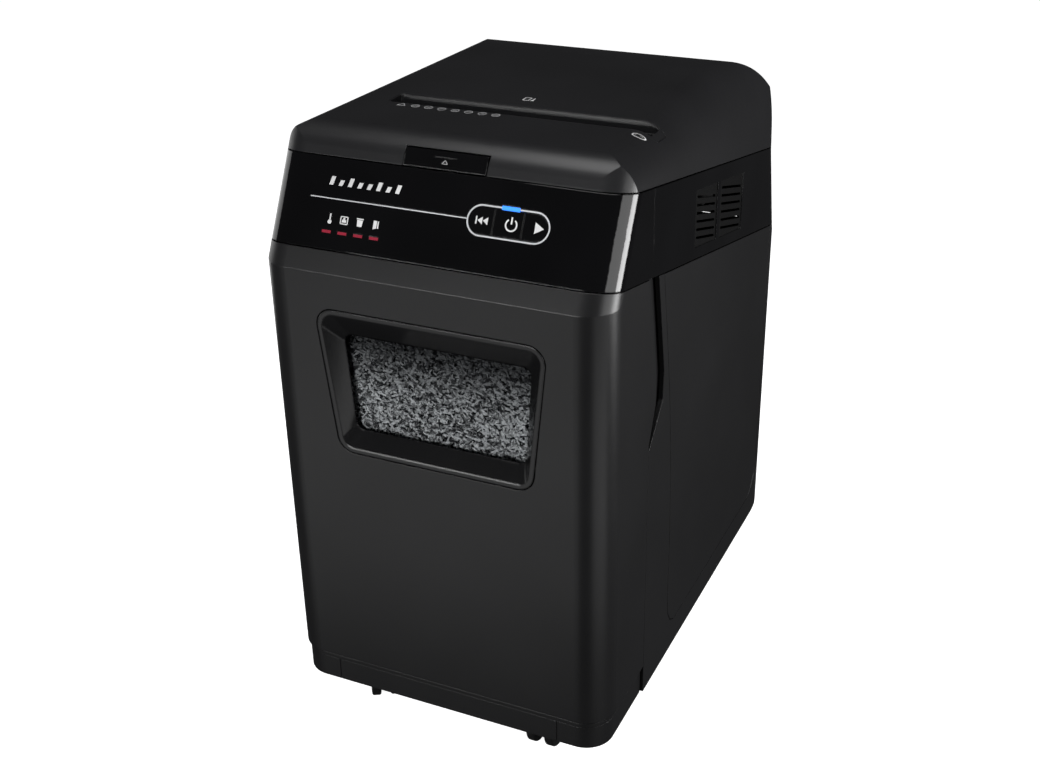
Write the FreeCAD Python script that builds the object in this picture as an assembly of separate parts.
import FreeCAD, Part
import math
import os

# Auto-feed paper shredder: a cabinet on four casters, a pull-out bin, a cutter head and a hinged lid.
# Millimetres. X is right, Y is back and Z is up. The origin is on the floor under the centre.

V = FreeCAD.Vector
os.makedirs("parts", exist_ok=True)

# ---------------------------------------------------------------- driving sizes: outside
WIDTH = 310.0
DEPTH = 470.0
HEIGHT = 545.0
HALF_W = WIDTH / 2
FRONT = -DEPTH / 2
BACK = DEPTH / 2
BODY_BOTTOM = 27.0
FRONT_CORNER_R = 28.0
BACK_CORNER_R = 22.0
BACK_KNEE_R = 48.0             # the rear corners grow rounder from the foot of the band up
BACK_TOP_R = 62.0
TAPER_Z = 352.0                # the growing starts here
HEEL_R = 35.0                  # round lower rear edge of the cabinet
KNEE_Z = 440.5                 # the front leans back above this height
FRONT_LEAN = 0.534             # millimetres back for each millimetre up
BAND_FOOT = (-226.0, 457.0, -0.22)    # lower edge of the gloss band: y, z, slope
LID_LINE = (-190.0, 523.0, -0.20)     # parting line of the lid: y, z, slope
SEAM = 0.5                    # half of the gap at a parting line

# ---------------------------------------------------------------- driving sizes: shells
BAND_WALL = 3.0
LID_WALL = 3.0
CABINET_WALL = 4.0
BIN_WALL = 3.0
LID_FRONT_R = 28.0
LID_BACK_ROUND = (134.0, 104.0)    # depth and height of the long round at the lid's back
LID_SIDE_FRONT = (26.0, 24.0)      # width and height of the rounded side at the front
LID_SIDE_BACK = (54.0, 125.0)      # the same at the back
CROWN_PULL = 0.62                  # fullness of the rounded side; 0.55 is an ellipse
BACK_PULL = 0.55                   # fullness of the long round at the back

# ---------------------------------------------------------------- driving sizes: base and casters
SKIRT_TOP = 53.5
DECK_UNDER = 49.5
CASTER_X = 88.0
CASTER_FRONT_Y = -190.0
CASTER_BACK_Y = 160.0
CASTER_TRAIL = 14.0
WHEEL_R = 19.0
WHEEL_WIDTH = 8.5
FORK_WIDTH = 8.0
STEM_R = 4.0
RUNNING_GAP = 0.06            # radial clearance of a turning fit

# ---------------------------------------------------------------- driving sizes: bin
PANEL_FOOT = 56.0
PART_LINE_Y = -139.0
TUB_HALF_W = 139.0
TUB_BACK = 205.0
TUB_FLOOR = 58.0
TUB_LOW_TOP = 335.0
TUB_HIGH_TOP = 425.0
TUB_WALL = 2.5
TUB_FRONT_R = 28.0
TUB_BACK_R = 20.0
TUB_LIP = 2.0
WINDOW_X = 2.0
PANE_Y = -222.0

# ---------------------------------------------------------------- driving sizes: cutter head
CUT_Y = -90.0
DRUM_Z = 385.0
DRUM_HALF_GAP = 21.0          # half of the distance between the drum axes
DISC_R = 22.5
SPACER_R = 18.5
DISC_PITCH = 10.0
DISC_THICK = 4.6
DISC_COUNT = 22
CUT_LEFT = -96.0
JOURNAL_R = 6.0
PLATE_THICK = 4.0
LEFT_PLATE_X = -103.0
RIGHT_PLATE_X = 135.0
PLATE_TOP = 437.0
PLATE_FOOT = 352.0
ROLLER_Z = 429.5
ROLLER_HALF_GAP = 26.0
ROLLER_R = 12.0
SHAFT_R = 4.0
PULLEY_R = 9.0
PULLEY_X = (140.5, 146.0)
SLEEVES = [(-72.0, -40.0), (2.0, 34.0), (76.0, 108.0)]    # rubber sleeves along a feed roller
DRIVE_STEP = (54.0, 22.0)     # distance and angle from the rear drum to the countershaft
MOTOR_STEP = (30.0, -15.0)    # distance and angle from the countershaft to the motor
MOTOR_R = 32.0

# ---------------------------------------------------------------- driving sizes: hopper and lid
WELL_FLOOR = 440.0
WELL_X = (-99.0, 135.0)
WELL_Y = (-175.0, 125.0)
DECK_DROP = 6.0
SLOT_X = (-95.0, 131.0)
SLOT_HALF = 4.5
TROUGH_X = (-99.0, 142.0)
TROUGH_Y = (-103.0, -77.0)
TROUGH_DEPTH = 9.0
TROUGH_GAP = 0.2
SLOT_RIM = 1.4
DUCT_WALL = 2.0
DUCT_FOOT = 449.0
HINGE_Y = 229.5
HINGE_Z = 438.5
KNUCKLE_R = 5.0
PIN_R = 1.5

# ---------------------------------------------------------------- derived places
LEAN_ANGLE = math.atan(FRONT_LEAN)
UP_SLOPE = V(0, math.sin(LEAN_ANGLE), math.cos(LEAN_ANGLE))
OUT_OF_PANEL = V(0, -math.cos(LEAN_ANGLE), math.sin(LEAN_ANGLE))
PANEL_Z = BAND_FOOT[1]
PANEL_Y = FRONT + FRONT_LEAN * (PANEL_Z - KNEE_Z)
FAR = 400.0


def step_from(y, z, step):
    distance, angle = step
    return (y + distance * math.cos(math.radians(angle)), z + distance * math.sin(math.radians(angle)))


DRUM_FRONT = (CUT_Y - DRUM_HALF_GAP, DRUM_Z)
DRUM_REAR = (CUT_Y + DRUM_HALF_GAP, DRUM_Z)
ROLLER_FRONT = (CUT_Y - ROLLER_HALF_GAP, ROLLER_Z)
ROLLER_REAR = (CUT_Y + ROLLER_HALF_GAP, ROLLER_Z)
COUNTER = step_from(DRUM_REAR[0], DRUM_REAR[1], DRIVE_STEP)
MOTOR = step_from(COUNTER[0], COUNTER[1], MOTOR_STEP)


# ================================================================ plain shapes
def box(x, y, z):
    return Part.makeBox(x[1] - x[0], y[1] - y[0], z[1] - z[0], V(x[0], y[0], z[0]))


def rod_x(x, place, radius):
    return Part.makeCylinder(radius, x[1] - x[0], V(x[0], place[0], place[1]), V(1, 0, 0))


def rod_y(y, place, radius):
    return Part.makeCylinder(radius, y[1] - y[0], V(place[0], y[0], place[1]), V(0, 1, 0))


def rod_z(z, place, radius):
    return Part.makeCylinder(radius, z[1] - z[0], V(place[0], place[1], z[0]), V(0, 0, 1))


def fuse(*shapes):
    return shapes[0].fuse(list(shapes[1:])).removeSplitter()


def cut(shape, *tools):
    return shape.cut(list(tools)).removeSplitter()


def group(shapes):
    return Part.makeCompound(list(shapes))


def mirrored(shape):
    return shape.mirror(V(0, 0, 0), V(1, 0, 0))


def shrunk(span, by):
    """A span made shorter by the same amount at both ends; a negative amount makes it longer."""
    return (span[0] + by, span[1] - by)


def shifted(span, by):
    return (span[0] + by, span[1] + by)


def slab_x(outline, x):
    """Polygon of (y, z) points, extruded from x[0] to x[1]."""
    points = [V(x[0], y, z) for y, z in outline]
    face = Part.Face(Part.makePolygon(points + [points[0]]))
    return face.extrude(V(x[1] - x[0], 0, 0))


def slab_y(outline, y):
    """Polygon of (x, z) points, extruded from y[0] to y[1]."""
    points = [V(px, y[0], pz) for px, pz in outline]
    face = Part.Face(Part.makePolygon(points + [points[0]]))
    return face.extrude(V(0, y[1] - y[0], 0))


def arc(start, middle, end):
    return Part.Arc(start, middle, end).toShape()


def line(start, end):
    return Part.makeLine(start, end)


def plane_z(plane, y):
    return plane[1] + plane[2] * (y - plane[0])


def below(plane, drop):
    """Everything under a sloping parting plane lowered by drop."""
    low, high = plane_z(plane, -FAR) - drop, plane_z(plane, FAR) - drop
    return slab_x([(-FAR, 0), (FAR, 0), (FAR, high), (-FAR, low)], (-FAR, FAR))


def above(plane, drop):
    low, high = plane_z(plane, -FAR) - drop, plane_z(plane, FAR) - drop
    top = HEIGHT + FAR
    return slab_x([(-FAR, low), (FAR, high), (FAR, top), (-FAR, top)], (-FAR, FAR))


def rounded_wire(x, y, front_r, back_r, z):
    """Horizontal rectangle with round corners, as one closed wire."""
    half = math.sqrt(0.5)
    corners = [
        (V(x[1] - front_r, y[0] + front_r, z), front_r, -1, 0),
        (V(x[1] - back_r, y[1] - back_r, z), back_r, 0, 1),
        (V(x[0] + back_r, y[1] - back_r, z), back_r, 1, 2),
        (V(x[0] + front_r, y[0] + front_r, z), front_r, 2, 3),
    ]
    edges = []
    last = None
    first = None
    for centre, radius, turn_in, turn_out in corners:
        start = centre + V(radius * math.cos(turn_in * math.pi / 2), radius * math.sin(turn_in * math.pi / 2), 0)
        end = centre + V(radius * math.cos(turn_out * math.pi / 2), radius * math.sin(turn_out * math.pi / 2), 0)
        middle = centre + (start - centre) * half + (end - centre) * half
        if last is None:
            first = start
        else:
            edges.append(line(last, start))
        edges.append(arc(start, middle, end))
        last = end
    edges.append(line(last, first))
    return Part.Wire(edges)


def rounded_block(x, y, z, front_r, back_r):
    face = Part.Face(rounded_wire(x, y, front_r, back_r, z[0]))
    return face.extrude(V(0, 0, z[1] - z[0]))


def lofted(lower, upper):
    return Part.makeLoft([lower, upper], True, True)


# ================================================================ the outer form
def body_form(inset):
    """The whole case as a solid, moved in by inset: upright below the knee, leaning above it."""
    x = (-HALF_W + inset, HALF_W - inset)
    front_r = FRONT_CORNER_R - inset
    back_r, knee_r, top_r = BACK_CORNER_R - inset, BACK_KNEE_R - inset, BACK_TOP_R - inset
    low_y = (FRONT + inset, BACK - inset)
    lean_back = FRONT_LEAN * (HEIGHT - KNEE_Z)
    top_y = (FRONT + lean_back + inset / math.cos(LEAN_ANGLE), BACK - inset)
    column = rounded_block(x, low_y, (BODY_BOTTOM, TAPER_Z), front_r, back_r)
    taper = lofted(rounded_wire(x, low_y, front_r, back_r, TAPER_Z), rounded_wire(x, low_y, front_r, knee_r, KNEE_Z))
    lean = lofted(rounded_wire(x, low_y, front_r, knee_r, KNEE_Z), rounded_wire(x, top_y, front_r, top_r, HEIGHT))
    return column.fuse(taper).fuse(lean)


def heel_form(inset):
    """Side profile of the cabinet, with its round lower rear edge."""
    centre = (BACK - HEEL_R, BODY_BOTTOM + HEEL_R)
    radius = HEEL_R - inset
    half = radius * math.sqrt(0.5)
    x = -FAR
    foot = V(x, centre[0], centre[1] - radius)
    side = V(x, centre[0] + radius, centre[1])
    middle = V(x, centre[0] + half, centre[1] - half)
    wall_top = V(x, side.y, HEIGHT)
    front_top = V(x, -FAR, HEIGHT)
    front_foot = V(x, -FAR, foot.z)
    edges = [line(front_foot, foot), arc(foot, middle, side), line(side, wall_top)]
    edges += [line(wall_top, front_top), line(front_top, front_foot)]
    return Part.Face(Part.Wire(edges)).extrude(V(2 * FAR, 0, 0))


def lid_profile(inset):
    """Side profile of the lid: round where the front meets the top and where the top meets the back."""
    turn = math.pi / 2 - LEAN_ANGLE
    reach = LID_FRONT_R * math.tan(turn / 2)
    corner_y = FRONT + FRONT_LEAN * (HEIGHT - KNEE_Z)
    centre = V(-FAR, corner_y + reach, HEIGHT - LID_FRONT_R)
    radius = LID_FRONT_R - inset
    top_start = centre + V(0, 0, radius)
    slope_end = centre + OUT_OF_PANEL * radius
    to_middle = (V(0, 0, 1) + OUT_OF_PANEL).normalize()
    middle = centre + to_middle * radius
    slope_start = slope_end - UP_SLOPE * FAR
    deep, tall = LID_BACK_ROUND[0] - inset, LID_BACK_ROUND[1] - inset
    top_end = V(-FAR, BACK - LID_BACK_ROUND[0], HEIGHT - inset)
    back_top = V(-FAR, BACK - inset, HEIGHT - LID_BACK_ROUND[1])
    back_round = Part.BezierCurve()
    back_round.setPoles([top_end, top_end + V(0, deep * BACK_PULL, 0), back_top + V(0, 0, tall * BACK_PULL), back_top])
    back_foot = V(-FAR, back_top.y, slope_start.z)
    edges = [line(slope_start, slope_end), arc(slope_end, middle, top_start), line(top_start, top_end)]
    edges += [back_round.toShape(), line(back_top, back_foot)]
    edges += [line(back_foot, slope_start)]
    return Part.Face(Part.Wire(edges)).extrude(V(2 * FAR, 0, 0))


def lid_section(y, rounding, inset):
    """Cross-section of the lid seen from the front, with soft upper corners."""
    wide, tall = rounding[0] - inset, rounding[1] - inset
    half, top, foot = HALF_W - inset, HEIGHT - inset, BAND_FOOT[1] - 100
    pull = CROWN_PULL

    def corner(side):
        low = V(side * half, y, top - tall)
        high = V(side * (half - wide), y, top)
        curve = Part.BezierCurve()
        curve.setPoles([low, low + V(0, 0, tall * pull), high + V(side * wide * pull, 0, 0), high])
        return low, high, curve.toShape()

    left_low, left_high, left = corner(-1)
    right_low, right_high, right = corner(1)
    left_foot, right_foot = V(-half, y, foot), V(half, y, foot)
    edges = [line(left_foot, left_low), left, line(left_high, right_high), right]
    edges += [line(right_low, right_foot), line(right_foot, left_foot)]
    return Part.Wire(Part.__sortEdges__(edges))


def lid_form(inset):
    """The lid as a solid above its parting line, moved in by inset."""
    crown = lofted(lid_section(FRONT, LID_SIDE_FRONT, inset), lid_section(BACK, LID_SIDE_BACK, inset))
    form = body_form(inset).common(lid_profile(inset)).common(crown)
    return form.common(above(LID_LINE, -SEAM))


# ================================================================ the slanted control panel
def on_panel(shape):
    """Moves a shape from panel axes (right, up the slope, outward) to its place on the band."""
    matrix = FreeCAD.Matrix(
        1, UP_SLOPE.x, OUT_OF_PANEL.x, 0,
        0, UP_SLOPE.y, OUT_OF_PANEL.y, PANEL_Y,
        0, UP_SLOPE.z, OUT_OF_PANEL.z, PANEL_Z,
        0, 0, 0, 1)
    return shape.transformed(matrix)


def panel_height(z):
    return (z - PANEL_Z) / math.cos(LEAN_ANGLE)


def pill(centre, size, depth):
    """Stadium shape in panel axes, from depth[0] to depth[1] along the outward normal."""
    radius = size[1] / 2
    half = size[0] / 2 - radius
    middle = box((centre[0] - half, centre[0] + half), (centre[1] - radius, centre[1] + radius), depth)
    ends = [Part.makeCylinder(radius, depth[1] - depth[0], V(centre[0] + side * half, centre[1], depth[0]))
            for side in (-1, 1)]
    return fuse(middle, *ends)


PILL_CENTRE = (61.5, panel_height(493.8))
PILL_SIZE = (70.0, 25.0)
PILL_RIM = 1.2
BUTTON_SPANS = {"reverse_button": (-FAR, -12.6), "power_button": (-12.0, 12.0), "forward_button": (12.6, FAR)}
BUTTON_GAP = 0.35
BUTTON_DEPTH = 3.6
BOARD_DEPTH = 8.0
BOARD_THICK = 1.6
BOARD_SPAN = ((-108.0, 102.0), (12.0, 56.0))
KEY_PITCH = 23.0
KEY_HALF = 3.0
STATUS_X = [-94.0, -79.5, -65.0, -50.5]
STATUS_Z = 470.3
STATUS_SIZE = (8.0, 2.2)
POWER_LED_X = 62.0
POWER_LED_SIZE = (15.0, 3.0)
ACCENT_LINE = (-114.0, 26.8)
ACCENT_WIDTH = 0.8
ACCENT_DEPTH = 0.8


def power_led_block(grow, depth):
    top = PILL_CENTRE[1] + PILL_SIZE[1] / 2 - PILL_RIM / 2
    half_w, half_h = POWER_LED_SIZE[0] / 2 + grow, POWER_LED_SIZE[1] / 2 + grow
    x = (POWER_LED_X - half_w, POWER_LED_X + half_w)
    return box(x, (top - half_h, top + half_h), depth)


def status_blocks(grow, depth):
    s = panel_height(STATUS_Z)
    half_w, half_h = STATUS_SIZE[0] / 2 + grow, STATUS_SIZE[1] / 2 + grow
    return [box((x - half_w, x + half_w), (s - half_h, s + half_h), depth) for x in STATUS_X]


def control_trim():
    """Light ring round the three buttons, with the thin line that runs into it, let into the band."""
    ring = cut(pill(PILL_CENTRE, PILL_SIZE, (-ACCENT_DEPTH, 0)),
               pill(PILL_CENTRE, (PILL_SIZE[0] - 2 * PILL_RIM, PILL_SIZE[1] - 2 * PILL_RIM), (-1, 1)))
    s = PILL_CENTRE[1]
    stripe = box(ACCENT_LINE, (s - ACCENT_WIDTH / 2, s + ACCENT_WIDTH / 2), (-ACCENT_DEPTH, 0))
    return on_panel(cut(fuse(ring, stripe), power_led_block(0.15, (-5, 5))))


def button(name):
    """One key of the three, filling its share of the ring."""
    inner = (PILL_SIZE[0] - 2 * PILL_RIM - 2 * BUTTON_GAP, PILL_SIZE[1] - 2 * PILL_RIM - 2 * BUTTON_GAP)
    key = pill(PILL_CENTRE, inner, (-BUTTON_DEPTH, -0.1))
    low, high = BUTTON_SPANS[name]
    share = box((PILL_CENTRE[0] + low, PILL_CENTRE[0] + high), (0, FAR), (-10, 10))
    return on_panel(cut(key.common(share), power_led_block(0.3, (-10, 10))))


def control_board():
    """Circuit board behind the slanted panel, with a switch under each key."""
    plate = box(BOARD_SPAN[0], BOARD_SPAN[1], (-BOARD_DEPTH - BOARD_THICK, -BOARD_DEPTH))
    x, s = PILL_CENTRE
    half = (-KEY_HALF, KEY_HALF)
    switches = [box(shifted(half, x + step), shifted(half, s), (-BOARD_DEPTH, -BUTTON_DEPTH - 1.1))
                for step in (-KEY_PITCH, 0, KEY_PITCH)]
    return on_panel(fuse(plate, *switches))


# ================================================================ band (upper housing)
VENT_Y = [(-36.0, 24.0), (33.0, 101.0)]
VENT_TOP_DROP = 15.0
VENT_FOOT_RISE = 10.5
SLAT_COUNT = 6
ROCKER_X = 96.0
ROCKER_Z = 398.0
ROCKER_FRAME = (23.0, 17.0)
ROCKER_WINDOW = (18.6, 15.2)
GLAND_PLACE = (-70.0, 392.0)
GLAND_R = 9.0
CORD_R = 4.1
LID_KNUCKLES = [(-100.0, -60.0), (60.0, 100.0)]
BAND_KNUCKLES = [(-HALF_W, -100.6), (-59.4, 59.4), (100.6, HALF_W)]
PIN_X = (-114.0, 114.0)
CAP_R = 8.0                   # radius of the band's fixed hinge rail between the lid's knuckles
BAND_REAR_Y = BACK - 30.0      # joint between the band's sides and its rear piece


def vent_opening(y, x):
    foot = [plane_z(BAND_FOOT, v) + VENT_FOOT_RISE for v in y]
    top = [plane_z(LID_LINE, v) - VENT_TOP_DROP for v in y]
    return slab_x([(y[0], foot[0]), (y[1], foot[1]), (y[1], top[1]), (y[0], top[0])], x)


def upper_housing():
    ring = body_form(0).cut(body_form(BAND_WALL))
    ring = ring.common(above(BAND_FOOT, -SEAM)).common(below(LID_LINE, SEAM))
    vents = [vent_opening(y, (-FAR, FAR)) for y in VENT_Y]
    pocket = on_panel(pill(PILL_CENTRE, PILL_SIZE, (-ACCENT_DEPTH, 1)))
    hole_size = (PILL_SIZE[0] - 2 * PILL_RIM, PILL_SIZE[1] - 2 * PILL_RIM)
    key_hole = on_panel(pill(PILL_CENTRE, hole_size, (-6, 1)))
    s = PILL_CENTRE[1]
    stripe = on_panel(box(ACCENT_LINE, (s - ACCENT_WIDTH / 2, s + ACCENT_WIDTH / 2), (-ACCENT_DEPTH, 1)))
    lamps = [on_panel(block) for block in status_blocks(0.1, (-6, 1)) + [power_led_block(0.1, (-6, 1))]]
    half_x, half_z = ROCKER_FRAME[0] / 2, ROCKER_FRAME[1] / 2
    rocker = box((ROCKER_X - half_x, ROCKER_X + half_x), (BACK - 10, BACK + 1), (ROCKER_Z - half_z, ROCKER_Z + half_z))
    gland = rod_y((BACK - 10, BACK + 1), GLAND_PLACE, GLAND_R)
    hinge_room = rod_x((-HALF_W, HALF_W), (HINGE_Y, HINGE_Z), KNUCKLE_R + 1)
    ring = cut(ring, pocket, key_hole, stripe, rocker, gland, hinge_room, *(vents + lamps))
    case = body_form(0)
    rails = []
    for x in BAND_KNUCKLES:
        rails.append(rod_x(x, (HINGE_Y, HINGE_Z), CAP_R).common(case))
        rails.append(box(x, (HINGE_Y - 3, BACK - BAND_WALL + 0.5), (HINGE_Z - 16, HINGE_Z)).common(case))
    return cut(fuse(ring, *rails), rod_x(PIN_X, (HINGE_Y, HINGE_Z), PIN_R))


def vent_grilles():
    """Louvred panels, two on each side, set 0.6 mm back from the band's face."""
    skins = (HALF_W - 2.8, HALF_W - 0.6)
    grilles = []
    for y in VENT_Y:
        edge = 0.15
        panel = vent_opening((y[0] + edge, y[1] - edge), skins)
        panel = panel.common(above(BAND_FOOT, -VENT_FOOT_RISE - edge)).common(below(LID_LINE, VENT_TOP_DROP + edge))
        step = (plane_z(LID_LINE, y[0]) - VENT_TOP_DROP - plane_z(BAND_FOOT, y[0]) - VENT_FOOT_RISE) / (SLAT_COUNT + 1)
        slots = []
        for index in range(1, SLAT_COUNT + 1):
            z = [plane_z(BAND_FOOT, v) + VENT_FOOT_RISE + index * step - 0.03 * (v - y[0]) for v in y]
            slots.append(slab_x([(y[0] + 5, z[0] - 1.2), (y[1] - 5, z[1] - 1.2),
                                 (y[1] - 5, z[1] + 1.2), (y[0] + 5, z[0] + 1.2)], (HALF_W - 5, HALF_W + 5)))
        grilles.append(cut(panel, *slots))
    return group(grilles + [mirrored(shape) for shape in grilles])


def rocker_bezel():
    half_x, half_z = ROCKER_FRAME[0] / 2 - 0.05, ROCKER_FRAME[1] / 2 - 0.05
    face = box((ROCKER_X - half_x, ROCKER_X + half_x), (BACK - 3, BACK), (ROCKER_Z - half_z, ROCKER_Z + half_z))
    can = box((ROCKER_X - 10.5, ROCKER_X + 10.5), (BACK - 20, BACK - 3), (ROCKER_Z - 8.2, ROCKER_Z + 8.2))
    half_x, half_z = ROCKER_WINDOW[0] / 2, ROCKER_WINDOW[1] / 2
    window = box((ROCKER_X - half_x, ROCKER_X + half_x), (BACK - 14, BACK + 1), (ROCKER_Z - half_z, ROCKER_Z + half_z))
    return cut(fuse(face, can), window)


ROCKER_PIVOT_Y = BACK - 7.0
ROCKER_TILT = 8.0
ROCKER_PIN_R = 1.2
ROCKER_PIN_REACH = 0.25


def power_rocker():
    """Rocker key tilted to its off side, turning about a pin across the frame."""
    x = (ROCKER_X - 9.0, ROCKER_X + 9.0)
    outline = [(-1.5, -6.3), (5.6, -6.3), (4.4, 0), (5.6, 6.3), (-1.5, 6.3)]
    key = slab_x([(ROCKER_PIVOT_Y + y, ROCKER_Z + z) for y, z in outline], x)
    key.rotate(V(0, ROCKER_PIVOT_Y, ROCKER_Z), V(1, 0, 0), -ROCKER_TILT)
    pin = rod_x((x[0] - ROCKER_PIN_REACH, x[1] + ROCKER_PIN_REACH), (ROCKER_PIVOT_Y, ROCKER_Z), ROCKER_PIN_R)
    return fuse(key, pin)


def cord_gland():
    body = fuse(rod_y((BACK - 3, BACK), GLAND_PLACE, GLAND_R - 0.05), rod_y((BACK - 16, BACK - 3), GLAND_PLACE, 7.0))
    return cut(body, rod_y((BACK - 20, BACK + 1), GLAND_PLACE, CORD_R))


# ================================================================ cabinet
SCOOP_FRONT = [(-146.0, 470.0), (-146.0, 441.0), (-134.0, 390.0), (-123.0, 340.0), (-124.0, 318.0), (-139.0, 286.0)]
SCOOP_BACK = [(-125.5, 470.0), (-125.5, 441.0), (-115.0, 390.0), (-105.0, 340.0), (-107.0, 314.0), (-138.0, 280.0)]
LINER_X = (147.5, 149.5)
INSET_DEPTH = 2.2
INSET_GAP = 0.8
FLANGE_X = (112.0, 131.0)
PANEL_HALF_W = 129.6
SCREW_X = 121.0
SCREW_HEIGHTS = [95.0, 205.0, 315.0]
SCREW_R = 1.9
SCREW_HEAD_R = 3.6
SCREW_LENGTH = 12.0
HEAD_DEPTH = 2.0
FLANGE_Z = (70.0, 340.0)
FLANGE_THICK = 4.0
LINER_Y = (-168.0, -100.0)
LINER_Z = (276.0, 441.0)
LINER_SHELF_Y = (-137.5, -100.0)
LINER_RIB = 3.0


def behind_part_line(gap):
    """The side of the parting line that belongs to the cabinet, moved back by gap."""
    edge = [(y + gap, z) for y, z in reversed(SCOOP_BACK)]
    outline = [(PART_LINE_Y + gap, 0), (PART_LINE_Y + gap, SCOOP_BACK[-1][1])] + edge + [(FAR, 470.0), (FAR, 0)]
    return slab_x(outline, (-FAR, FAR))


def ahead_of_part_line():
    edge = list(reversed(SCOOP_FRONT))
    outline = [(-FAR, 0), (PART_LINE_Y, 0)] + edge + [(-FAR, 470.0)]
    return slab_x(outline, (-FAR, FAR))


def inset_outline(shrink):
    """Flush side panel: its front edge leans, its lower corners are round."""
    low = 54.0 + shrink
    back = 207.0 - shrink
    front = [(-113.0 + shrink, 440.0), (-97.0 + shrink, 357.0), (-88.0 + shrink, 305.0), (-80.0 + shrink, 231.0),
             (-76.5 + shrink, 150.0), (-77.5 + shrink, 90.0), (-75.0 + shrink, 72.0), (-68.0 + shrink, 60.0 + shrink),
             (-57.0, low)]
    rear = [(182.0, low), (195.0 - shrink, 61.0 + shrink), (204.0 - shrink, 74.0), (back, 92.0), (back, 440.0)]
    return front + rear


def cabinet_shell():
    outside = body_form(0).common(heel_form(0))
    inside = body_form(CABINET_WALL).common(heel_form(CABINET_WALL))
    shell = outside.cut(inside).common(below(BAND_FOOT, SEAM)).common(behind_part_line(SEAM))
    floor_cut = box((-HALF_W + CABINET_WALL, HALF_W - CABINET_WALL), (-FAR, BACK - HEEL_R), (0, BODY_BOTTOM + 8))
    return shell.cut(floor_cut)


def screw_places():
    return [(side * SCREW_X, z) for side in (-1, 1) for z in SCREW_HEIGHTS]


def grip_liner():
    """Plate behind the grip hollow, held to the wall by a rib and a shelf."""
    reach = (LINER_X[0], HALF_W - CABINET_WALL + 0.5)
    plate = box(LINER_X, LINER_Y, LINER_Z)
    rib = box(reach, (LINER_Y[1] - LINER_RIB, LINER_Y[1]), (LINER_Z[0], LINER_Z[1] - 16))
    shelf = box(reach, LINER_SHELF_Y, (LINER_Z[0], LINER_Z[0] + LINER_RIB))
    return fuse(plate, rib, shelf).common(below(BAND_FOOT, 2))


def side_wall_right(shell):
    """Right wall of the cabinet with its inset pocket, screw flange and grip liner."""
    wall = shell.common(box((PANEL_HALF_W + 0.4, HALF_W + 1), (-FAR, FAR), (0, FAR + 100)))
    wall = max(wall.Solids, key=lambda solid: solid.Volume)
    pocket = slab_x(inset_outline(0), (HALF_W - INSET_DEPTH, HALF_W + 1))
    inner = BACK - CABINET_WALL
    flange_y = (inner - FLANGE_THICK, inner)
    flange = box(FLANGE_X, flange_y, FLANGE_Z)
    bridge = box((FLANGE_X[1], PANEL_HALF_W + 12), flange_y, FLANGE_Z).common(body_form(CABINET_WALL - 0.5))
    wall = cut(fuse(wall, flange, bridge, grip_liner()), pocket)
    holes = [rod_y((inner - 6, inner + 1), place, SCREW_R) for place in screw_places() if place[0] > 0]
    return cut(wall, *holes)


def side_inset_right():
    panel = slab_x(inset_outline(INSET_GAP), (HALF_W - INSET_DEPTH + 0.1, HALF_W))
    return panel.common(below(BAND_FOOT, SEAM + 0.4))


def rear_panel(shell):
    panel = shell.common(box((-PANEL_HALF_W, PANEL_HALF_W), (BACK - HEEL_R - 4, FAR), (0, FAR + 100)))
    holes = []
    for place in screw_places():
        holes.append(rod_y((BACK - 8, BACK + 1), place, SCREW_R))
        holes.append(rod_y((BACK - HEAD_DEPTH, BACK + 1), place, SCREW_HEAD_R + 0.1))
    return cut(panel, *holes)


def panel_screws():
    screws = []
    for place in screw_places():
        head = rod_y((BACK - HEAD_DEPTH, BACK - 0.2), place, SCREW_HEAD_R)
        screws.append(fuse(head, rod_y((BACK - SCREW_LENGTH, BACK - HEAD_DEPTH), place, SCREW_R)))
    return group(screws)


# ================================================================ base and casters
CASTERS = {
    "front_left": (-CASTER_X, CASTER_FRONT_Y, -60.0),
    "front_right": (CASTER_X, CASTER_FRONT_Y, -90.0),
    "rear_left": (-CASTER_X, CASTER_BACK_Y, 90.0),
    "rear_right": (CASTER_X, CASTER_BACK_Y, 90.0),
}
SOCKET_FOOT = 41.5
SOCKET_R = 12.0
SKIRT_WALL = 3.3
SKIRT_SEAM_X = 110.0
RIB_X = (-HALF_W + 12.0, HALF_W - 12.0)
RIB_Y = (-70.0, 10.0, 90.0)
RIB_THICK = 2.5
RIB_DROP = 5.0


def pan_form():
    """Outside of the base from its lower edge to the deck's top, as a solid."""
    front = body_form(2.5).common(box((-FAR, FAR), (-FAR, PART_LINE_Y - 1.5), (BODY_BOTTOM, SKIRT_TOP)))
    rear = body_form(CABINET_WALL + 0.3).common(
        box((-FAR, FAR), (PART_LINE_Y - 2, BACK - HEEL_R - 0.5), (BODY_BOTTOM, SKIRT_TOP)))
    return fuse(front, rear)


def skirt_ring():
    """Upright wall of the base all round, under the deck."""
    room = body_form(CABINET_WALL + SKIRT_WALL).common(
        box((-FAR, FAR), (-FAR, BACK - HEEL_R - 3.5), (BODY_BOTTOM - 1, DECK_UNDER)))
    return pan_form().cut(room).common(box((-FAR, FAR), (-FAR, FAR), (0, DECK_UNDER)))


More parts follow.
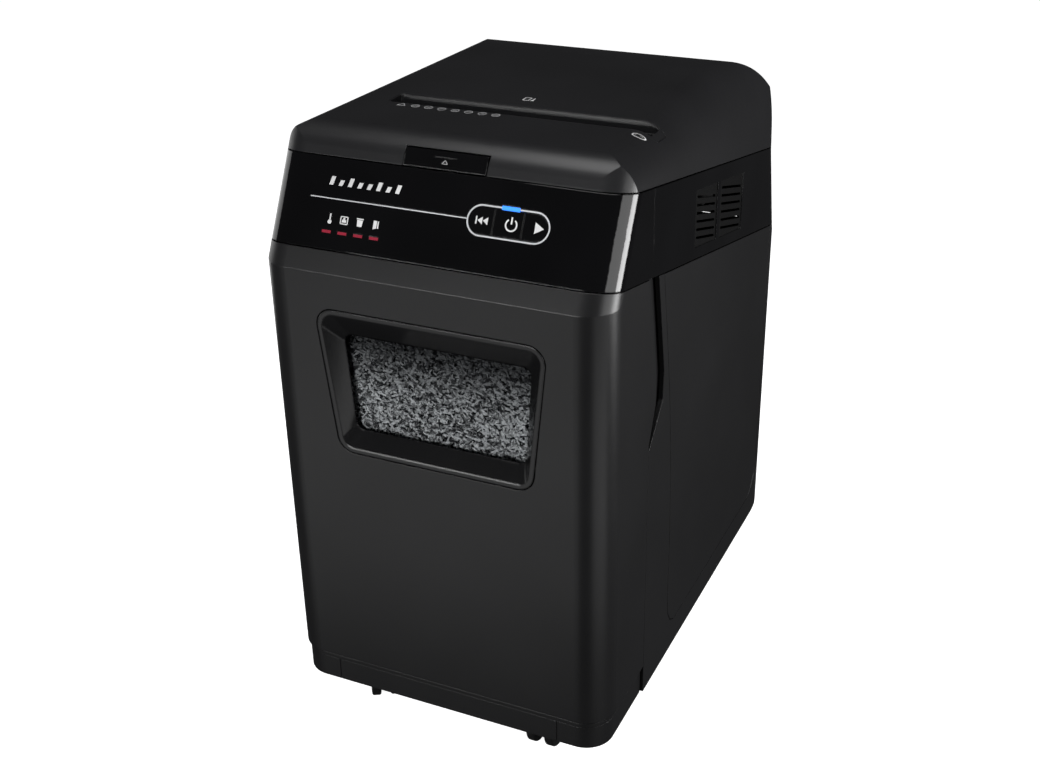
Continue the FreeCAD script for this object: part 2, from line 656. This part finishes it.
def base_deck():
    """Floor of the cabinet, with ribs and the four caster sockets under it."""
    plate = pan_form().common(box((-FAR, FAR), (-FAR, FAR), (DECK_UNDER, SKIRT_TOP)))
    sockets = [rod_z((SOCKET_FOOT, DECK_UNDER + 1), place[:2], SOCKET_R) for place in CASTERS.values()]
    ribs = [box(RIB_X, (y, y + RIB_THICK), (DECK_UNDER - RIB_DROP, DECK_UNDER + 1)) for y in RIB_Y]
    bores = [rod_z((SOCKET_FOOT - 1, DECK_UNDER + 1.5), place[:2], STEM_R + RUNNING_GAP) for place in CASTERS.values()]
    return cut(fuse(plate, *(sockets + ribs)), *bores)


def base_skirt():
    """Sides and back of the skirt under the deck."""
    return skirt_ring().cut(box((-SKIRT_SEAM_X, SKIRT_SEAM_X), (-FAR, 0), (0, FAR)))


def front_skirt():
    """Middle of the skirt's front, a separate strip between two seams."""
    half_w = SKIRT_SEAM_X - SEAM
    return skirt_ring().common(box((-half_w, half_w), (-FAR, 0), (0, FAR)))


def bin_runners():
    rails = [box((side * 106 - 5, side * 106 + 5), (-190, 190), (SKIRT_TOP, TUB_FLOOR - 0.5)) for side in (-1, 1)]
    return group(rails)


def turned(shape, place, angle):
    """Turns a caster piece, drawn with its trail along +X at the origin, to its place."""
    shape.rotate(V(0, 0, 0), V(0, 0, 1), angle)
    shape.translate(V(place[0], place[1], 0))
    return shape


def caster_fork(place):
    outline = [(-7, 41), (-7, 31), (4, 12), (14, 9), (23, 13), (24, 24), (16, 34), (8, 39), (8, 41)]
    web = slab_y(outline, (-FORK_WIDTH / 2, FORK_WIDTH / 2))
    collar = rod_z((38.6, SOCKET_FOOT - 0.3), (0, 0), 9.0)
    stem = rod_z((40, DECK_UNDER + 0.6), (0, 0), STEM_R)
    eye = rod_y((-FORK_WIDTH, FORK_WIDTH), (CASTER_TRAIL, WHEEL_R), 2.5 + RUNNING_GAP)
    return turned(cut(fuse(web, collar, stem), eye), place, place[2])


def caster_wheels(place):
    """Two wheels moulded on one axle, one each side of the fork."""
    inner = FORK_WIDTH / 2 + 0.5
    axle = rod_y((-inner - 2, inner + 2), (CASTER_TRAIL, WHEEL_R), 2.5)
    wheels = []
    for side in (-1, 1):
        ends = sorted((side * inner, side * (inner + WHEEL_WIDTH)))
        wheel = rod_y(ends, (CASTER_TRAIL, WHEEL_R), WHEEL_R)
        rims = [edge for edge in wheel.Edges if len(edge.Vertexes) == 1]
        wheel = wheel.makeFillet(1.8, rims)
        outer = side * (inner + WHEEL_WIDTH)
        dish_ends = sorted((outer - side * 1.5, outer + side))
        dish = cut(rod_y(dish_ends, (CASTER_TRAIL, WHEEL_R), 13.0), rod_y(dish_ends, (CASTER_TRAIL, WHEEL_R), 5.0))
        wheels.append(cut(wheel, dish))
    return turned(fuse(axle, *wheels), place, place[2])


# ================================================================ bin
WINDOW_OUTLINE = {"top": 410.0, "foot": 278.0, "half_top": 104.5, "half_foot": 90.0, "corner": 16.0}
PANE_OUTLINE = {"top": 383.0, "foot": 296.0, "half_top": 84.5, "half_foot": 78.5, "corner": 7.0}


def window_wire(outline, grow, y):
    """Four-sided opening, wider at the top, with round corners."""
    top, foot = outline["top"] + grow, outline["foot"] - grow
    points = [(-outline["half_foot"] - grow, foot), (outline["half_foot"] + grow, foot),
              (outline["half_top"] + grow, top), (-outline["half_top"] - grow, top)]
    points = [V(WINDOW_X + px, y, pz) for px, pz in points]
    radius = outline["corner"] + grow
    edges = []
    ends = []
    for index, point in enumerate(points):
        to_last = (points[index - 1] - point).normalize()
        to_next = (points[(index + 1) % 4] - point).normalize()
        half_angle = to_last.getAngle(to_next) / 2
        reach = radius / math.tan(half_angle)
        centre = point + (to_last + to_next).normalize() * (radius / math.sin(half_angle))
        start, end = point + to_last * reach, point + to_next * reach
        middle = centre + (point - centre).normalize() * radius
        edges.append(arc(start, middle, end))
        ends.append((start, end))
    wires = []
    for index in range(4):
        wires.append(edges[index])
        wires.append(line(ends[index][1], ends[(index + 1) % 4][0]))
    return Part.Wire(wires)


def window_block(outline, grow, y):
    return Part.Face(window_wire(outline, grow, y[0])).extrude(V(0, y[1] - y[0], 0))


def bin_front_panel():
    shell = body_form(0).cut(body_form(BIN_WALL))
    shell = shell.common(below(BAND_FOOT, SEAM)).common(box((-FAR, FAR), (-FAR, FAR), (PANEL_FOOT, FAR + 100)))
    shell = shell.common(ahead_of_part_line())
    return cut(shell, window_block(WINDOW_OUTLINE, 0, (FRONT - 5, FRONT + 10)))


def window_bezel():
    """Frame round the window, sloping in to the pane."""
    frame = window_block(WINDOW_OUTLINE, -1.0, (FRONT, PANE_Y))
    slope = Part.makeLoft([window_wire(WINDOW_OUTLINE, -5.0, FRONT - 0.01), window_wire(PANE_OUTLINE, 0, PANE_Y + 0.01)],
                          True, True)
    return cut(frame, slope)


def window_pane():
    return window_block(PANE_OUTLINE, 5.0, (PANE_Y, PANE_Y + 2.5))


def tub_form(inset, z):
    x = (-TUB_HALF_W + inset, TUB_HALF_W - inset)
    y = (FRONT + BIN_WALL + inset, TUB_BACK - inset)
    return rounded_block(x, y, z, TUB_FRONT_R - inset, TUB_BACK_R - inset)


def tub_side_outline(drop):
    return [(-FAR, 0), (FAR, 0), (FAR, TUB_LOW_TOP - drop), (-140, TUB_LOW_TOP - drop), (-166, TUB_HIGH_TOP - drop),
            (-FAR, TUB_HIGH_TOP - drop)]


def bin_tub():
    tub = tub_form(0, (TUB_FLOOR, TUB_HIGH_TOP)).cut(tub_form(TUB_WALL, (TUB_FLOOR + TUB_WALL, TUB_HIGH_TOP + 5)))
    tub = tub.common(slab_x(tub_side_outline(0), (-FAR, FAR)))
    opening = window_block(WINDOW_OUTLINE, 1.5, (FRONT, FRONT + 12))
    lip = tub_form(-TUB_LIP, (TUB_LOW_TOP - 3, TUB_LOW_TOP)).cut(tub_form(0.0, (TUB_LOW_TOP - 5, TUB_LOW_TOP + 5)))
    lip = lip.common(box((-FAR, FAR), (-135, FAR), (0, FAR)))
    return cut(fuse(tub, lip), opening)


def shred_pile():
    """Heap of cut paper in the bin: lowest at the back, highest behind the window."""
    outline = [(-FAR, 0), (FAR, 0), (FAR, 292), (150, 300), (20, 318), (-125, 325), (-160, 362), (-190, 394), (-FAR, 397)]
    heap = tub_form(TUB_WALL + 1.0, (TUB_FLOOR + TUB_WALL + 0.5, TUB_HIGH_TOP - 10))
    heap = heap.common(slab_x(outline, (-FAR, FAR)))
    return heap.cut(box((-FAR, FAR), (-FAR, PANE_Y + 4.5), (0, FAR + 100)))


# ================================================================ cutter head
def gear(teeth, module, place, x, phase, bore):
    """Spur gear with straight-sided slim teeth."""
    pitch_r = teeth * module / 2
    tip_r, root_r = pitch_r + 0.92 * module, pitch_r - 1.25 * module
    pitch = 2 * math.pi / teeth
    points = []
    for index in range(teeth):
        middle = phase + index * pitch
        for radius, share in ((root_r, -0.26), (pitch_r, -0.20), (tip_r, -0.09), (tip_r, 0.09), (pitch_r, 0.20),
                              (root_r, 0.26)):
            angle = middle + share * pitch
            points.append((place[0] + radius * math.cos(angle), place[1] + radius * math.sin(angle)))
    return cut(slab_x(points, x), rod_x((x[0] - 1, x[1] + 1), place, bore))


def meshed_phase(phase, teeth, partner_teeth, angle):
    """Phase of the second gear so that its gap faces a tooth of the first along the line of centres."""
    share = ((angle - phase) / (2 * math.pi / teeth)) % 1.0
    return angle + math.pi + share * 2 * math.pi / partner_teeth + math.pi / partner_teeth


DRUM_TEETH = 21
DRIVE_TEETH = 60
PINION_TEETH = 12
COUNTER_TEETH = 50
MOTOR_TEETH = 10
DRUM_MODULE = 2.0
DRIVE_MODULE = 1.5
MOTOR_MODULE = 1.0
DRUM_GEAR_X = (-116.0, -107.5)
DRIVE_GEAR_X = (-128.0, -119.0)
COUNTER_GEAR_X = (-140.0, -132.5)
DRIVE_ANGLE = math.radians(DRIVE_STEP[1])
MOTOR_ANGLE = math.radians(MOTOR_STEP[1])
PINION_PHASE = meshed_phase(0.0, DRIVE_TEETH, PINION_TEETH, DRIVE_ANGLE)
MOTOR_PHASE = meshed_phase(0.0, COUNTER_TEETH, MOTOR_TEETH, MOTOR_ANGLE)
FRONT_DRUM_PHASE = meshed_phase(0.0, DRUM_TEETH, DRUM_TEETH, math.pi)


def cutter_cylinder(place, first_disc, left_end):
    """One cutting roll, turned from bar: discs and spacers on a shaft, with three long flutes."""
    start, end = CUT_LEFT, CUT_LEFT + DISC_COUNT * DISC_PITCH + DISC_PITCH / 2
    profile = [(left_end, 0), (left_end, JOURNAL_R), (start - 2, JOURNAL_R), (start - 2, SPACER_R)]
    for index in range(DISC_COUNT):
        x = start + first_disc + index * DISC_PITCH
        profile += [(x, SPACER_R), (x, DISC_R), (x + DISC_THICK, DISC_R), (x + DISC_THICK, SPACER_R)]
    profile += [(end + 2, SPACER_R), (end + 2, JOURNAL_R), (PULLEY_X[1], JOURNAL_R), (PULLEY_X[1], 0)]
    cleaned = [point for index, point in enumerate(profile) if index == 0 or point != profile[index - 1]]
    points = [V(x, place[0] + r, place[1]) for x, r in cleaned]
    roll = Part.Face(Part.makePolygon(points + [points[0]])).revolve(V(0, place[0], place[1]), V(1, 0, 0), 360)
    flutes = []
    for index in range(3):
        flute = slab_x([(DISC_R - 3.2, 0), (DISC_R + 2, -2.2), (DISC_R + 2, 3.0)], (start - 1, end + 1))
        flute.rotate(V(0, 0, 0), V(1, 0, 0), 120 * index + 40)
        flute.translate(V(0, place[0], place[1]))
        flutes.append(flute)
    return fuse(cut(roll, *flutes), rod_x(PULLEY_X, place, PULLEY_R))


def drum_gear_front():
    return gear(DRUM_TEETH, DRUM_MODULE, DRUM_FRONT, DRUM_GEAR_X, FRONT_DRUM_PHASE, JOURNAL_R)


def drum_gears_rear():
    small = gear(DRUM_TEETH, DRUM_MODULE, DRUM_REAR, DRUM_GEAR_X, 0.0, JOURNAL_R)
    large = gear(DRIVE_TEETH, DRIVE_MODULE, DRUM_REAR, DRIVE_GEAR_X, 0.0, JOURNAL_R)
    spacer = cut(rod_x((DRIVE_GEAR_X[1], DRUM_GEAR_X[0]), DRUM_REAR, 12.0), rod_x((-130, -100), DRUM_REAR, JOURNAL_R))
    return fuse(small, spacer, large)


def countershaft():
    shaft = rod_x((COUNTER_GEAR_X[0] - 1, LEFT_PLATE_X + PLATE_THICK - 0.2), COUNTER, SHAFT_R)
    pinion = gear(PINION_TEETH, DRIVE_MODULE, COUNTER, DRIVE_GEAR_X, PINION_PHASE, SHAFT_R - 1)
    wheel = gear(COUNTER_TEETH, MOTOR_MODULE, COUNTER, COUNTER_GEAR_X, 0.0, SHAFT_R - 1)
    return fuse(shaft, pinion, wheel)


def motor_shaft():
    shaft = rod_x((COUNTER_GEAR_X[0] - 1, LEFT_PLATE_X + PLATE_THICK + 20), MOTOR, 3.0)
    pinion = gear(MOTOR_TEETH, MOTOR_MODULE, MOTOR, COUNTER_GEAR_X, MOTOR_PHASE, 2.0)
    return fuse(shaft, pinion)


def motor_case():
    start = LEFT_PLATE_X + PLATE_THICK
    can = rod_x((start, start + 112), MOTOR, MOTOR_R)
    rims = [edge for edge in can.Edges if len(edge.Vertexes) == 1]
    can = can.makeFillet(3.0, rims)
    cap = rod_x((start + 112, start + 118), MOTOR, 12.0)
    return cut(fuse(can, cap), rod_x((start - 1, start + 22), MOTOR, 3.0 + RUNNING_GAP))


def bearing_places(side):
    """Journal places and radii in one end plate; the left one also carries the countershaft."""
    places = [(DRUM_FRONT, JOURNAL_R), (DRUM_REAR, JOURNAL_R), (ROLLER_FRONT, SHAFT_R), (ROLLER_REAR, SHAFT_R)]
    if side == "left":
        places.append((COUNTER, SHAFT_R))
    return places


TIE_PLACES = [(-132.0, 360.0), (-48.0, 360.0), (-136.0, 424.0), (-44.0, 424.0)]
TIE_R = 3.5
BUSH_WALL = 1.4


def cutter_plate(side):
    x0 = LEFT_PLATE_X if side == "left" else RIGHT_PLATE_X
    x = (x0, x0 + PLATE_THICK)
    outline = [(-142, PLATE_FOOT), (-38, PLATE_FOOT), (-38, PLATE_TOP), (-142, PLATE_TOP)]
    if side == "left":
        outline = [(-142, PLATE_FOOT), (20, PLATE_FOOT), (48, 372), (48, PLATE_TOP), (-142, PLATE_TOP)]
    holes = [rod_x((x[0] - 1, x[1] + 1), place, radius + BUSH_WALL) for place, radius in bearing_places(side)]
    holes += [rod_x((x[0] - 1, x[1] + 1), place, TIE_R) for place in TIE_PLACES]
    if side == "left":
        holes.append(rod_x((x[0] - 1, x[1] + 1), MOTOR, 8.0))
    return cut(slab_x(outline, x), *holes)


def shaft_bushes():
    bushes = []
    for side, x0 in (("left", LEFT_PLATE_X), ("right", RIGHT_PLATE_X)):
        for place, radius in bearing_places(side):
            ring = rod_x((x0, x0 + PLATE_THICK), place, radius + BUSH_WALL)
            bushes.append(cut(ring, rod_x((x0 - 1, x0 + PLATE_THICK + 1), place, radius + RUNNING_GAP)))
    return group(bushes)


def tie_rods():
    rods = []
    ends = (LEFT_PLATE_X - 3.5, RIGHT_PLATE_X + PLATE_THICK + 3.5)
    for place in TIE_PLACES:
        rod = rod_x(ends, place, TIE_R)
        nuts = []
        for x in ((ends[0] + 0.5, LEFT_PLATE_X), (RIGHT_PLATE_X + PLATE_THICK, ends[1] - 0.5)):
            hexagon = [(place[0] + 6 * math.cos(k * math.pi / 3), place[1] + 6 * math.sin(k * math.pi / 3))
                       for k in range(6)]
            nuts.append(slab_x(hexagon, x))
        rods.append(fuse(rod, *nuts))
    return group(rods)


def stripper_combs():
    """Two fixed combs whose fingers reach between the discs and keep paper off the rolls."""
    combs = []
    for drum, side, first_disc in ((DRUM_FRONT, -1, 0.0), (DRUM_REAR, 1, DISC_PITCH / 2)):
        bar_ends = sorted((drum[0] + side * 24.5, drum[0] + side * 28.5))
        bar = box((LEFT_PLATE_X + PLATE_THICK, RIGHT_PLATE_X), bar_ends, (366, 405))
        fingers = []
        for index in range(DISC_COUNT - 1):
            x = CUT_LEFT + first_disc + index * DISC_PITCH + DISC_THICK + 0.7
            finger_ends = sorted((drum[0] + side * 19.2, drum[0] + side * 25.0))
            fingers.append(box((x, x + DISC_PITCH - DISC_THICK - 1.4), finger_ends, (376, 394)))
        combs.append(fuse(bar, *fingers))
    return group(combs)


def feed_roller(place):
    """Rubber-sleeved roller that pulls sheets off the stack, with its pulley."""
    shaft = rod_x((LEFT_PLATE_X - 2, PULLEY_X[1]), place, SHAFT_R)
    sleeves = [rod_x(span, place, ROLLER_R) for span in SLEEVES]
    pulley = rod_x(PULLEY_X, place, PULLEY_R)
    return fuse(shaft, pulley, *sleeves)


def belt(start, end):
    """Loop round two equal pulleys, with a small gap all round so that they turn inside it."""
    away = V(0, end[0] - start[0], end[1] - start[1])
    across = V(1, 0, 0).cross(away).normalize()
    layers = []
    for radius in (PULLEY_R + 0.9, PULLEY_R + 0.1):
        wide = across * radius
        corners = [V(0, start[0], start[1]) + wide, V(0, end[0], end[1]) + wide,
                   V(0, end[0], end[1]) - wide, V(0, start[0], start[1]) - wide]
        strip = slab_x([(corner.y, corner.z) for corner in corners], (PULLEY_X[0] + 1, PULLEY_X[1] - 1))
        discs = [rod_x((PULLEY_X[0] + 1, PULLEY_X[1] - 1), place, radius) for place in (start, end)]
        layers.append(fuse(strip, *discs))
    return cut(layers[0], layers[1])


def feed_belts():
    return group([belt(DRUM_FRONT, ROLLER_FRONT), belt(DRUM_REAR, ROLLER_REAR)])


# ================================================================ hopper, boards and switches
def hopper_tray():
    """Deck under the lid with the well for the stack, the roller windows and the throat."""
    deck = body_form(BAND_WALL).common(below(LID_LINE, DECK_DROP)).common(above(LID_LINE, DECK_DROP + 3))
    deck = deck.common(box((-FAR, FAR), (-FAR, HINGE_Y - CAP_R - 1), (0, FAR + 300)))
    well = box((WELL_X[0] - 3, WELL_X[1] + 3), (WELL_Y[0] - 3, WELL_Y[1] + 3), (WELL_FLOOR - 3, HEIGHT))
    well = well.common(below(LID_LINE, DECK_DROP))
    room = box(WELL_X, WELL_Y, (WELL_FLOOR, HEIGHT))
    throat = box((SLOT_X[0] - 1, SLOT_X[1] + 1), (CUT_Y - 5, CUT_Y + 5), (WELL_FLOOR - 5, WELL_FLOOR + 1))
    windows = []
    for place in (ROLLER_FRONT, ROLLER_REAR):
        for span in SLEEVES:
            windows.append(box((span[0] - 1.5, span[1] + 1.5), (place[0] - 10.5, place[0] + 10.5),
                               (WELL_FLOOR - 5, WELL_FLOOR + 1)))
    hook_room = box((-10, 10), (-187, -172), (500, HEIGHT))
    return cut(fuse(deck, well), room, throat, hook_room, *windows)


BOARD_X = (-70.0, 50.0)
BOARD_Y = (138.0, 208.0)
BOARD_Z = 400.0
POST_R = 3.0
POST_INSET = 5.0
CAPACITORS = [(-50.0, 155.0), (-50.0, 185.0)]
CAPACITOR_SIZE = (9.0, 20.0)
BOARD_BLOCKS = {
    "relay": ((-25.0, 3.0), (145.0, 160.0), 16.0),
    "choke": ((-25.0, 0.0), (172.0, 197.0), 18.0),
    "heat_sink": ((20.0, 40.0), (145.0, 200.0), 14.0),
}


def main_board():
    """Power board hung on four posts under the deck, with its larger components."""
    top = BOARD_Z + BOARD_THICK
    plate = box(BOARD_X, BOARD_Y, (BOARD_Z, top))
    radius, tall = CAPACITOR_SIZE
    pieces = [rod_z((top, top + tall), place, radius) for place in CAPACITORS]
    pieces += [box(x, y, (top, top + height)) for x, y, height in BOARD_BLOCKS.values()]
    for x in shrunk(BOARD_X, POST_INSET):
        for y in shrunk(BOARD_Y, POST_INSET):
            pieces.append(rod_z((top, HEIGHT), (x, y), POST_R).common(below(LID_LINE, DECK_DROP + 3)))
    return fuse(plate, *pieces)


PLUNGER_PLACE = (70.0, 310.0)
PLUNGER_R = 3.0


def safety_switches():
    """Bin switch on the rear panel and lid switch on the deck."""
    inner = BACK - CABINET_WALL
    bin_switch = box((PLUNGER_PLACE[0] - 11, PLUNGER_PLACE[0] + 11), (212, inner),
                     (PLUNGER_PLACE[1] - 9, PLUNGER_PLACE[1] + 9))
    bin_switch = cut(bin_switch, rod_y((211, 224), PLUNGER_PLACE, PLUNGER_R + RUNNING_GAP))
    lid_switch = box((141, 150), (-150, -120), (440, HEIGHT))
    lid_switch = lid_switch.common(above(LID_LINE, DECK_DROP)).common(below(LID_LINE, 1.5))
    return group([bin_switch, lid_switch])


def switch_plunger():
    return rod_y((TUB_BACK + TUB_LIP + 0.6, 218), PLUNGER_PLACE, PLUNGER_R)


# ================================================================ lid and the pieces on it
TAB_HALF_W = 36.0
TAB_TOP = 536.5
TAB_FOOT_GAP = 1.0
TAB_PROUD = 0.8
TAB_BACK_Y = -165.0
HOOK_Y = (-181.0, -178.0)
HOOK_Z = (508.0, 533.0)
HOOK_HALF_W = 7.0
HOOK_ROOT = {"half_w": 9.0, "y": (-186.5, -178.0), "z": (527.0, 533.0)}
STEM_TUBE_R = 8.0
STEM_Y = (-28.0, 52.0)
STEM_X = 18.0
STEM_RADIUS = 4.0
SPRING_END_GAP = 0.2
SPRING_THICK = 0.6
SPRING_DISCS = 12
SPRING_RADII = (5.2, 8.2)
SOCKET_Z = 500.0
PLATE_Z = (452.0, 455.0)
PLATE_Y = (-52.0, 76.0)
PLATE_HALF_W = 72.0
STEM_TOP = 530.0


def lid_shell():
    lid = lid_form(0).cut(lid_form(LID_WALL))
    trough = rounded_block(TROUGH_X, TROUGH_Y, (HEIGHT - TROUGH_DEPTH - 8, HEIGHT + 1), 5.0, 5.0)
    tab_room = box(shrunk((-TAB_HALF_W, TAB_HALF_W), -TAB_PROUD), (-FAR, TAB_BACK_Y), (400, TAB_TOP + TAB_PROUD))
    hinge_room = rod_x((-HALF_W, HALF_W), (HINGE_Y, HINGE_Z), CAP_R + 0.5)
    tubes = [rod_z((SOCKET_Z, HEIGHT - 1), (STEM_X, y), STEM_TUBE_R) for y in STEM_Y]
    tube_bores = [rod_z((SOCKET_Z - 1, HEIGHT - LID_WALL), (STEM_X, y), STEM_RADIUS + 0.1) for y in STEM_Y]
    lid = cut(lid, trough, tab_room, hinge_room)
    knuckles = []
    for x in LID_KNUCKLES:
        knuckles.append(rod_x(x, (HINGE_Y, HINGE_Z), KNUCKLE_R))
        knuckles.append(box(x, (HINGE_Y - 3, HINGE_Y + 2), (HINGE_Z, HINGE_Z + 16)))
        knuckles.append(box(x, (HINGE_Y - 3, BACK - LID_WALL + 0.6), (HINGE_Z + 9.5, HINGE_Z + 16)))
    bores = tube_bores + [rod_x((-HALF_W, HALF_W), (HINGE_Y, HINGE_Z), PIN_R + 0.05)]
    return cut(fuse(lid, *(tubes + knuckles)), *bores)


def hinge_pin():
    return rod_x(PIN_X, (HINGE_Y, HINGE_Z), PIN_R)


def slot_insert():
    """Trough in the lid with the rimmed hand-feed slot, and the duct that leads down to the throat."""
    floor = HEIGHT - TROUGH_DEPTH
    outer = rounded_block(shrunk(TROUGH_X, TROUGH_GAP), shrunk(TROUGH_Y, TROUGH_GAP), (floor - 2.5, HEIGHT), 4.8, 4.8)
    mouth = rounded_wire(shrunk(TROUGH_X, 1.5), shrunk(TROUGH_Y, 1.5), 3.5, 3.5, HEIGHT + 0.1)
    foot = rounded_wire(shrunk(SLOT_X, -3.0), shrunk(TROUGH_Y, 4.0), 1.0, 1.0, floor)
    slot_y = (CUT_Y - SLOT_HALF, CUT_Y + SLOT_HALF)
    rim = box(shrunk(SLOT_X, -SLOT_RIM), shrunk(slot_y, -SLOT_RIM), (floor - 1, floor + 1.5))
    duct = box(shrunk(SLOT_X, -DUCT_WALL), shrunk(slot_y, -DUCT_WALL), (DUCT_FOOT, floor - 1))
    slot = box(SLOT_X, slot_y, (WELL_FLOOR, HEIGHT + 1))
    tray = cut(outer, lofted(foot, mouth)).common(lid_form(0.15))
    return cut(fuse(tray, rim, duct), slot)


def release_tab():
    """Gloss key in the lid's front edge that frees the lid, with its hook behind the band."""
    zone = box((-TAB_HALF_W, TAB_HALF_W), (-FAR, TAB_BACK_Y), (400, TAB_TOP)).common(above(LID_LINE, -TAB_FOOT_GAP))
    key = lid_form(-TAB_PROUD).common(zone).cut(lid_form(LID_WALL))
    root = box((-HOOK_ROOT["half_w"], HOOK_ROOT["half_w"]), HOOK_ROOT["y"], HOOK_ROOT["z"])
    hook = box((-HOOK_HALF_W, HOOK_HALF_W), HOOK_Y, HOOK_Z)
    return fuse(key, root, hook)


def pressure_plate():
    plate = rounded_block((STEM_X - PLATE_HALF_W, STEM_X + PLATE_HALF_W), PLATE_Y, PLATE_Z, 8.0, 8.0)
    stems = [rod_z((PLATE_Z[1] - 1, STEM_TOP), (STEM_X, y), STEM_RADIUS) for y in STEM_Y]
    return fuse(plate, *stems)


def plate_springs():
    """A stack of disc springs on each stem, joined rim to rim."""
    foot, top = PLATE_Z[1] + SPRING_END_GAP, SOCKET_Z - SPRING_END_GAP
    zigzag = []
    for index in range(SPRING_DISCS + 1):
        radius = SPRING_RADII[index % 2]
        zigzag.append((radius, foot + (top - foot) * index / SPRING_DISCS))
    outline = zigzag + [(radius + SPRING_THICK, z) for radius, z in reversed(zigzag)]
    springs = []
    for y in STEM_Y:
        points = [V(STEM_X + radius, y, z) for radius, z in outline]
        face = Part.Face(Part.makePolygon(points + [points[0]]))
        springs.append(face.revolve(V(STEM_X, y, 0), V(0, 0, 1), 360))
    return group(springs)


# ================================================================ the whole machine
def all_parts():
    shell = cabinet_shell()
    wall = side_wall_right(shell)
    inset = side_inset_right()
    band = upper_housing()
    parts = {
        "base_deck": base_deck(),
        "base_skirt": base_skirt(),
        "front_skirt": front_skirt(),
        "bin_runners": bin_runners(),
        "side_wall_right": wall,
        "side_wall_left": mirrored(wall),
        "side_insets": group([inset, mirrored(inset)]),
        "rear_panel": rear_panel(shell),
        "panel_screws": panel_screws(),
        "upper_housing_front": band.common(box((-FAR, FAR), (-FAR, PART_LINE_Y), (0, 2 * FAR))),
        "upper_housing_sides": band.common(box((-FAR, FAR), (PART_LINE_Y, BAND_REAR_Y), (0, 2 * FAR))),
        "upper_housing_rear": band.common(box((-FAR, FAR), (BAND_REAR_Y, FAR), (0, 2 * FAR))),
        "vent_grilles": vent_grilles(),
        "control_trim": control_trim(),
        "control_board": control_board(),
        "status_leds": group([on_panel(block) for block in status_blocks(0, (-BOARD_DEPTH, 0.1))]),
        "power_led": on_panel(power_led_block(0, (-BOARD_DEPTH, 0.2))),
        "rocker_bezel": rocker_bezel(),
        "power_rocker": power_rocker(),
        "cord_gland": cord_gland(),
        "hinge_pin": hinge_pin(),
        "hopper_tray": hopper_tray(),
        "main_board": main_board(),
        "safety_switches": safety_switches(),
        "switch_plunger": switch_plunger(),
        "cutter_plates": group([cutter_plate("left"), cutter_plate("right")]),
        "shaft_bushes": shaft_bushes(),
        "tie_rods": tie_rods(),
        "stripper_combs": stripper_combs(),
        "cutter_cylinder_front": cutter_cylinder(DRUM_FRONT, 0.0, DRUM_GEAR_X[0] - 1),
        "cutter_cylinder_rear": cutter_cylinder(DRUM_REAR, DISC_PITCH / 2, DRIVE_GEAR_X[0] - 1),
        "drum_gear_front": drum_gear_front(),
        "drum_gears_rear": drum_gears_rear(),
        "countershaft": countershaft(),
        "motor_case": motor_case(),
        "motor_shaft": motor_shaft(),
        "feed_roller_front": feed_roller(ROLLER_FRONT),
        "feed_roller_rear": feed_roller(ROLLER_REAR),
        "feed_belts": feed_belts(),
        "lid_shell": lid_shell(),
        "slot_insert": slot_insert(),
        "release_tab": release_tab(),
        "pressure_plate": pressure_plate(),
        "plate_springs": plate_springs(),
        "bin_front_panel": bin_front_panel(),
        "bin_tub": bin_tub(),
        "window_bezel": window_bezel(),
        "window_pane": window_pane(),
        "shred_pile": shred_pile(),
    }
    for name in BUTTON_SPANS:
        parts[name] = button(name)
    for corner, place in CASTERS.items():
        parts["caster_fork_" + corner] = caster_fork(place)
        parts["caster_wheels_" + corner] = caster_wheels(place)
    return parts


for name, shape in all_parts().items():
    shape.exportStep("parts/" + name + ".step")
    print(name, len(shape.Solids), round(shape.Volume / 1000, 1), "cm3", "" if shape.isValid() else "NOT VALID")
